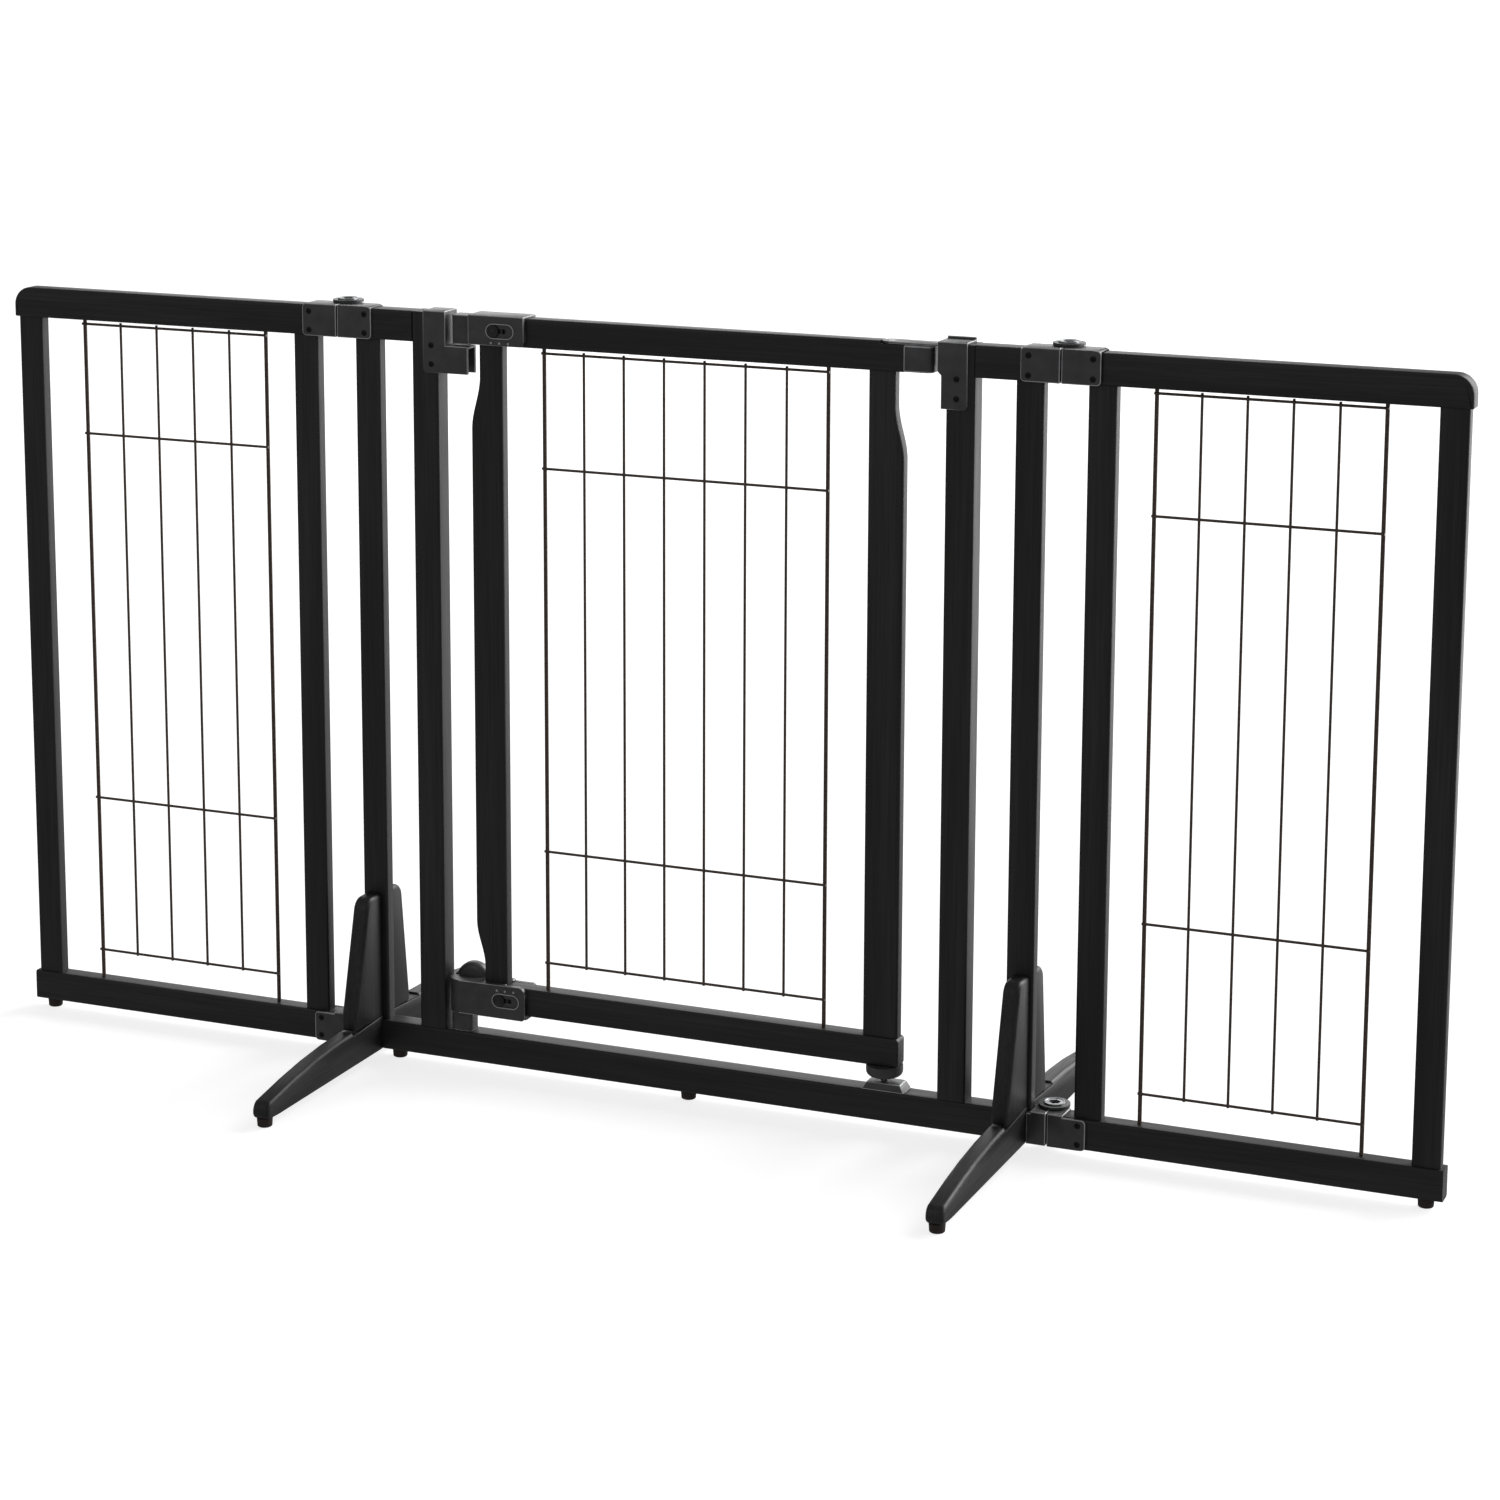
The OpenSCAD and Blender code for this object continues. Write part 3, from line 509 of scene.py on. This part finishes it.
def makeLeg(node, name):
    s = legSet
    low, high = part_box(node)
    front = -1 if low[1] + high[1] < 0 else 1
    reach = max(abs(low[1]), abs(high[1])) * 1000
    base, top = low[2] * 1000, high[2] * 1000
    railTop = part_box("centre_bottom_rail")[1][2] * 1000
    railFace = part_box("centre_bottom_rail")[1][1] * 1000
    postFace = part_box("left_inner_post")[1][1] * 1000
    finBase, finFoot = s["top"][-1][1], s["finFoot"][front]
    toe, tip, curve = s["toe"], s["tip"], s["finRound"]
    footLine = ([(railFace, base), (reach - toe, base)]
                + arc((reach - toe, base + toe), toe, -90, 0, 4)[1:]
                + arc((reach - tip, base + s["tipUp"]), tip, 0, s["tipTurn"], 7)
                + list(s["top"]) + [(postFace, finBase), (postFace, railTop), (railFace, railTop)])
    finLine = ([(postFace, finBase), (finFoot, finBase),
                (finFoot - s["finLean"], finBase + s["finStep"])]
               + arc((s["finTop"] - s["finInset"], top - curve), curve, *s["finTurn"], 8)
               + [(postFace, top)])
    place = lambda line: [(front * a, b) for a, b in inMetres(line)]
    foot = addBoard(name + "Foot", place(footLine), low[0], high[0], "X")
    thin = s["finThinner"] / 1000
    fin = addBoard(name + "Fin", place(finLine), low[0] + thin, high[0] - thin, "X")
    outer = lambda e: min(abs(v.co.y) for v in e.verts) > railFace / 1000 + 2 * margin
    roundEdges(foot, lambda e: inPlane(e, 0) and outer(e), s["ease"] / 1000)
    above = lambda e: max(v.co.z for v in e.verts) > finBase / 1000 + margin
    offPost = lambda e: max(abs(v.co.y) for v in e.verts) > postFace / 1000 + 2 * margin
    roundEdges(fin, lambda e: inPlane(e, 0) and above(e) and offPost(e), s["ease"] / 1000)
    for piece, material in ((foot, woodAlongY), (fin, woodAlongZ)):
        ease(piece, s["arris"] / 1000, segments=2)
        finish(piece, material, node)


for node, name in (("left_front_leg", "leftFront"), ("left_rear_leg", "leftRear"),
                   ("right_front_leg", "rightFront"), ("right_rear_leg", "rightRear")):
    makeLeg(node, name)
print("legs made")

# ---- side panels' top rails: a big round at the outer corner ----
# heel and corner: radius in millimetres, steps
topRailSet = {"heel": (1.5, 3), "corner": (19, 14), "edge": 2.5, "arris": 0.4}


def makeEndedRail(node, name, s):
    # a rail whose right-hand end has its two corners rounded
    low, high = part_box(node)
    (heel, heelSteps), (corner, cornerSteps) = s["heel"], s["corner"]
    heel, corner = heel / 1000, corner / 1000
    line = ([(low[0], low[2])]
            + arc((high[0] - heel, low[2] + heel), heel, -90, 0, heelSteps)
            + arc((high[0] - corner, high[2] - corner), corner, 0, 90, cornerSteps)
            + [(low[0], high[2])])
    rail = addBoard(name, line, low[1], high[1], "Y")
    pastStart = lambda e: max(v.co.x for v in e.verts) > low[0] + margin
    roundEdges(rail, lambda e: inPlane(e, 1) and pastStart(e), s["edge"] / 1000)
    ease(rail, s["arris"] / 1000, segments=2)
    return rail


rail = makeEndedRail("right_top_rail", "rightTopRail", topRailSet)
finish(another(rail, "leftTopRail", mirrorX), woodAlongX, "left_top_rail")
finish(rail, woodAlongX, "right_top_rail")

# ---- the door's shaped posts ----
doorPostSet = {"edge": 3.2, "arris": 0.4, "shortest": 0.1, "neck": 9.5,
               "upper": (690, 746), "lower": (115.4, 165.4), "steps": 14}


def neckCurve(low, high):
    s = doorPostSet
    return [(s["neck"] * (1 - math.cos(math.pi * i / s["steps"])) / 2000,
             (low + (high - low) * i / s["steps"]) / 1000) for i in range(s["steps"] + 1)]


def makeDoorPost(node, name, outward, necks):
    # outward is -1 when the shaped edge is on the left
    s = doorPostSet
    low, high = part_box(node)
    edge = low[0] if outward < 0 else high[0]
    back = high[0] if outward < 0 else low[0]
    line = [(back, low[2]), (back, high[2]), (edge - outward * s["neck"] / 1000, high[2])]
    line += [(edge - outward * x, z) for x, z in reversed(neckCurve(*s["upper"]))]
    if "lower" in necks:
        line += [(edge - outward * x, z) for x, z in neckCurve(s["lower"][1], s["lower"][0])]
        line += [(edge - outward * s["neck"] / 1000, low[2])]
    else:
        line += [(edge, low[2])]
    post = addBoard(name, line, low[1], high[1], "Y")
    rising = lambda e: abs(e.verts[0].co.z - e.verts[1].co.z) > s["shortest"] / 1000
    roundEdges(post, lambda e: inPlane(e, 1) and rising(e), s["edge"] / 1000)
    ease(post, s["arris"] / 1000, segments=2)
    finish(post, woodAlongZ, node)


makeDoorPost("door_latch_post", "latchPost", -1, ("upper", "lower"))
makeDoorPost("door_hinge_post", "hingePost", 1, ("upper",))
print("rails and posts made")

# ---- the straight timbers: long edges softened by hand sanding ----
timberSet = {"edge": 1.9, "longEdge": 40, "segments": 4}
shaped = {"left_top_rail", "right_top_rail", "door_latch_post", "door_hinge_post",
          "door_bottom_rail"}


def pieceName(node):
    first, *others = node.split("_")
    return first + "".join(word.title() for word in others)


for node in frame["nodes"]:
    if node.endswith(("_rail", "_post")) and node not in shaped:
        timber = copyOf(node, pieceName(node))
        ease(timber, timberSet["edge"] / 1000, timberSet["segments"], timberSet["longEdge"] / 1000)
        finish(timber, materialFor(node), node)

# the door's bottom rail ends in rounded corners past the hinge post
doorRailSet = {"heel": (3.5, 6), "corner": (3.5, 6), "edge": 1.9, "arris": 0.3}
rail = makeEndedRail("door_bottom_rail", "doorBottomRail", doorRailSet)
finish(rail, woodAlongX, "door_bottom_rail")
print("timbers made")

# ---- wires and rubber feet ----
wireSmooth = 40                             # degrees
padSet = {"edge": 0.8, "segments": 3, "shortest": 0}
for node in frame["nodes"]:
    if node.endswith("_grid"):
        grid = copyOf(node, pieceName(node))
        shadeSmooth(grid, wireSmooth)
        finish(grid, finishes["coated_wire"], node)
    elif slotOf[node] == "foot_rubber":
        pad = copyOf(node, pieceName(node))
        ease(pad, padSet["edge"] / 1000, padSet["segments"], padSet["shortest"])
        finish(pad, finishes["foot_rubber"], node)
print("wires and feet made")

# ---- fold hinges: leaves with rounded outer corners and soft edges ----
leafSet = {"corner": 4.5, "edge": 0.9, "atEnd": 1e-5}
mouldedShortest = 0.0014      # metres; shorter edges belong to screw holes and knuckles


def makeLeaf(node, name):
    s = leafSet
    leaf = copyOf(node, name)
    low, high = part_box(node)
    inward = "inner" in node
    right = node.startswith("right")
    plateEnd = low[0] if inward == right else high[0]
    alongY = lambda e: inPlane(e, 0) and inPlane(e, 2)
    atEnd = lambda e: abs(e.verts[0].co.x - plateEnd) < s["atEnd"]
    if "bottom_inner" not in node:
        roundEdges(leaf, lambda e: alongY(e) and atEnd(e), s["corner"] / 1000)
    # the leaf's roundings take the pale nylon, a painted highlight
    ease(leaf, s["edge"] / 1000, shortest=mouldedShortest, paintedHighlight=nylonEdgeHighlight)
    finish(leaf, finishes["moulded_plastic"], node)


for node in frame["nodes"]:
    if node.endswith("_leaf"):
        makeLeaf(node, pieceName(node))

# ---- hinge pins: a broad round head with a rolled rim round a hexagon socket ----
pinSet = {
    # (radius, height) from the middle of the dished top, over the rim and down to the shank
    "head": ((0, -0.5), (9.0, -0.5), (9.4, -0.2), (9.8, 0), (10.5, 0), (10.9, -0.2),
             (11, -0.6), (11, -1.5), (4, -1.5)),
    "shank": 4, "point": 0.8, "socket": 6.4, "socketDeep": 3.0,
}


def makePin(name, low, high):
    s = pinSet
    shank, point, length = s["shank"] / 1000, s["point"] / 1000, high.z - low.z
    pin = addTurned(name, inMetres(s["head"]) + [
        (shank, point - length), (shank - point, -length), (0, -length)])
    bpy.ops.mesh.primitive_cylinder_add(vertices=6, radius=s["socket"] / 1000,
                                        depth=2 * s["socketDeep"] / 1000)
    subtract(pin, bpy.context.object)
    shadeSmooth(pin)
    middle = (low + high) / 2
    moved(pin, Matrix.Translation((middle.x, middle.y, high.z)))
    finish(pin, finishes["zinc_steel"], "fold_pins")


for number, (low, high) in enumerate(islandsOf("fold_pins")):
    makePin("foldPin" + str(number), low, high)
print("fold hinges made")

# ---- screws: crowned heads with a cross recess ----
screwSet = {
    # dome: parts of the head's radius and of the crown; under: part of the radius, millimetres
    "dome": ((0, 1), (0.45, 0.86), (0.8, 0.45), (0.96, 0)),
    "under": ((1, -0.3), (1, -0.9), (0.94, -1.2), (0.5, -1.4)),
    "crown": 0.5, "shank": 0.5, "point": 1.0, "steps": 32,
    "recess": (3.6, 0.8, 1.0),   # length, width, depth
    "turn": (17, 41),            # degrees: the first screw's, and what each next one adds
}


def makeScrew(low, high):
    # head at the origin, looking along +Z
    s = screwSet
    head, length, crown = (high.x - low.x) / 2, high.y - low.y, s["crown"] / 1000
    profile = [(head * a, crown * b) for a, b in s["dome"]]
    profile += [(head * a, b / 1000) for a, b in s["under"]]
    profile += [(head * s["shank"], s["point"] / 1000 - length), (0, -length)]
    screw = addTurned("screw", profile, s["steps"])
    long, wide, deep = (v / 1000 for v in s["recess"])
    for across, along in ((long, wide), (wide, long)):
        subtract(screw, addBlock("slot", (-across / 2, -along / 2, crown - deep),
                                 (across / 2, along / 2, crown + margin)))
    shadeSmooth(screw)
    return screw


for node in ("centre_screws", "left_screws", "right_screws"):
    boxes = islandsOf(node)
    pattern = makeScrew(*boxes[0])
    first, step = screwSet["turn"]
    for number, (low, high) in enumerate(boxes):
        middle = (low + high) / 2
        front = Matrix.Rotation(math.radians(90), 4, "X")
        turn = Matrix.Rotation(math.radians(first + step * number), 4, "Z")
        if middle.y < 0:
            place = Matrix.Translation((middle.x, low.y, middle.z)) @ front @ turn
        else:
            place = Matrix.Translation((middle.x, high.y, middle.z)) @ mirrorY @ front @ turn
        screw = another(pattern, pieceName(node) + str(number), place)
        finish(screw, finishes["black_screw"], node)
    bpy.data.objects.remove(pattern)
print("screws made")

# ---- brackets, housings and the small mouldings ----
mouldingSet = {
    # CAD node: piece, edge radius in millimetres, then the corners to round, each as
    # (left or right, low or high, radius)
    "strike_bracket": ("strikeBracket", 0.9, ()),
    "upper_hinge_bracket": ("upperHingeBracket", 0.8, (("right", "low", 3.5),)),
    "lower_pivot_saddle": ("pivotSaddle", 0.8, ()), "catch_peg": ("catchPeg", 0.8, ()),
    "door_end_cap": ("doorEndCap", 1.6, ()),
    "top_latch_housing": ("topLatchHousing", 0.9, (("right", "low", 5),)),
    "latch_bolt": ("latchBolt", 0.9, ()),
    "bottom_latch_housing": ("bottomLatchHousing", 0.85,
                             (("right", "low", 4), ("right", "high", 7.5))),
    "pivot_dome": ("pivotDome", 0.5, ()),
}
sleeveOf = {"top_latch_housing": "door_top_rail", "bottom_latch_housing": "door_bottom_rail",
            "upper_hinge_bracket": "right_gate_post"}
endPlace = 1e-4            # metres; how near a vertex is to count as at the end
strikeCorner = 5           # millimetres
earSet = {"round": 7, "segments": 7, "above": 2, "within": 5}


def makeMoulding(node, name, edge, corners):
    piece = copyOf(node, name)
    low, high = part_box(node)
    for across, level, radius in corners:
        end = high[0] if across == "right" else low[0]
        tops = [v.co.z for v in piece.data.vertices if abs(v.co.x - end) < endPlace]
        corner = (end, max(tops) if level == "high" else low[2])
        inward = (-1 if across == "right" else 1, -1 if level == "high" else 1)
        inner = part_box(sleeveOf[node])[0][1]
        cutCorner(piece, corner, inward, radius / 1000, low[1] - margin, inner)
    if node == "strike_bracket":
        cutCorner(piece, (low[0], low[2]), (1, 1), strikeCorner / 1000,
                  low[1] - margin, high[1] + margin)
    if node == "bottom_latch_housing":
        # the ear that stands up behind the rail
        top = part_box("door_bottom_rail")[1][2] + earSet["above"] / 1000
        onEar = lambda v: v.co.z > top and 0 < v.co.y < earSet["within"] / 1000
        roundEdges(piece, lambda e: all(onEar(v) for v in e.verts),
                   earSet["round"] / 1000, earSet["segments"])
    # the moulding's roundings take the pale nylon, a painted highlight
    ease(piece, edge / 1000, shortest=mouldedShortest, paintedHighlight=nylonEdgeHighlight)
    finish(piece, finishes["moulded_plastic"], node)


for node, (name, edge, corners) in mouldingSet.items():
    makeMoulding(node, name, edge, corners)

# ---- lock knobs, the raised rims round their keyholes and the small pips beside them ----
lockSet = {
    # lathe profiles are (radius, height) above the face they stand on
    "ring": ((0, 0.1), (4.2, 0.1), (4.6, 0.4), (4.9, 0.6), (5.9, 0.6), (6.3, 0.3), (6.3, -0.2),
             (0, -0.2)),
    "hub": ((0, 0.8), (1.61, 0.72), (2.3, 0.32), (2.3, -0.2), (0, -0.2)), "hubSteps": 32,
    "bar": ((-4.4, -0.6, -0.2), (4.4, 0.6, 0.56)),
    "knobEdge": 0.3, "keyhole": 7.0, "keyholeLonger": 4, "rimWidth": 0.9, "rimHigh": 0.45,
    "rimSink": 0.3, "rimEdge": 0.2, "rimCut": 2,
    "pip": ((0, 0.7), (0.65, 0.602), (1.118, 0.35), (1.3, 0), (1.3, -0.4), (0, -0.4)),
    "pipSteps": 20, "pipAcross": (-1.9, 7.6, 17.5),
    "pipDown": {"top_latch_housing": -12.2, "bottom_latch_housing": 11.0},
}


def facing(x, y, z):
    # carries a shape that looks along +Z to this place, looking out of the front
    return Matrix.Translation((x, y, z)) @ Matrix.Rotation(math.radians(90), 4, "X")


def makeLock(knobNode, housingNode, name):
    s = lockSet
    knob = copyOf(knobNode, name + "Knob")
    low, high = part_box(knobNode)
    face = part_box(housingNode)[0][1]
    x, z = (low[0] + high[0]) / 2, (low[2] + high[2]) / 2
    ease(knob, s["knobEdge"] / 1000, segments=2, shortest=0)
    finish(knob, nylonKnob, knobNode)
    barLow, barHigh = ([v / 1000 for v in end] for end in s["bar"])
    fittings = (addTurned("ring", inMetres(s["ring"])),
                addTurned("hub", inMetres(s["hub"]), s["hubSteps"]),
                addBlock("bar", barLow, barHigh))
    joinInto(knob, *(moved(fitting, facing(x, low[1], z)) for fitting in fittings))
    # raised rim round the keyhole, with the pips, riding the housing
    right = x + joints[name + "_lock_slide"]["range_m"][1] + s["keyholeLonger"] / 1000
    hole, wide, cut = s["keyhole"] / 1000, s["rimWidth"] / 1000, s["rimCut"] / 1000
    rim = addBoard("keyholeRim" + name.title(), stadiumLine(x, right, z, hole + wide),
                   face - s["rimHigh"] / 1000, face + s["rimSink"] / 1000, "Y")
    subtract(rim, addBoard("hole", stadiumLine(x, right, z, hole), face - cut, face + cut, "Y"))
    ease(rim, s["rimEdge"] / 1000, segments=2, shortest=0)
    down = s["pipDown"][housingNode] / 1000
    pips = [moved(addTurned("pip", inMetres(s["pip"]), s["pipSteps"]),
                  facing(x + across / 1000, face, z + down)) for across in s["pipAcross"]]
    # the rim and its pips take the pale nylon, a painted highlight round the keyhole
    finish(rim, nylonEdgeHighlight, housingNode)
    joinInto(rim, *pips)


makeLock("top_lock_knob", "top_latch_housing", "top")
makeLock("bottom_lock_knob", "bottom_latch_housing", "bottom")
print("mouldings made")

# ---- stage ----
# The floor glows a little and is left out of reflections, so it stays as white as the
# backdrop and the gate's faces keep their depth.
floorSet = {"size": 60, "colour": "#a0a0a0", "rough": 0.9, "glow": 0.78}
bpy.ops.object.select_all(action="DESELECT")
bpy.ops.mesh.primitive_plane_add(size=floorSet["size"], location=(0, 0, 0))
floor = bpy.context.object
floor.name = "studioFloor"
floorMaterial, floorTree, floorShader = newMaterial("paintedFloor")
setInputs(floorTree, floorShader, {
    "Base Color": hexColour(floorSet["colour"]), "Roughness": floorSet["rough"],
    "Emission Color": (1, 1, 1, 1), "Emission Strength": floorSet["glow"],
})
floor.data.materials.append(floorMaterial)
floor.visible_glossy = False
floor.visible_diffuse = False

lightAim = Vector((0, 0, 0.4))
lightSet = {
    # name: kind, comes from, strength, size (metres, or degrees for the sun)
    "skyBackRight": ("SUN", (1.6, 2.6, 2.6), 3.0, 35),
    "keyRight": ("AREA", (3.6, 1.4, 1.5), 60, 1.6),
    "rimRight": ("AREA", (2.6, 4.4, 0.5), 78, 3.0),
    "rimLeft": ("AREA", (-2.2, 5.0, 1.9), 50, 3.0),
    "fillFront": ("AREA", (-1.6, -3.4, 2.6), 10, 2.5),
}
for name, (kind, place, strength, size) in lightSet.items():
    lampData = bpy.data.lights.new(name, kind)
    if kind == "SUN":
        lampData.angle = math.radians(size)
    else:
        lampData.size = size
    lampData.energy = strength
    lamp = bpy.data.objects.new(name, lampData)
    lamp.location = place
    lamp.visible_camera = False
    lamp.rotation_euler = (lightAim - Vector(place)).to_track_quat("-Z", "Y").to_euler()
    bpy.context.collection.objects.link(lamp)

bpy.context.scene.view_settings.view_transform = "Standard"
worldSet = {"seen": 1.0, "lighting": 0.30}   # strength of the backdrop, and of the light it gives
world = bpy.data.worlds.new("studioWorld")
bpy.context.scene.world = world
world.use_nodes = True
worldTree = world.node_tree
backdrop = worldTree.nodes["Background"]
backdrop.inputs["Color"].default_value = (1, 1, 1, 1)
seen = addNode(worldTree, "ShaderNodeLightPath").outputs["Is Camera Ray"]
strength = mapped(worldTree, seen, worldSet["lighting"], worldSet["seen"])
worldTree.links.new(strength, backdrop.inputs["Strength"])
print("stage lit")
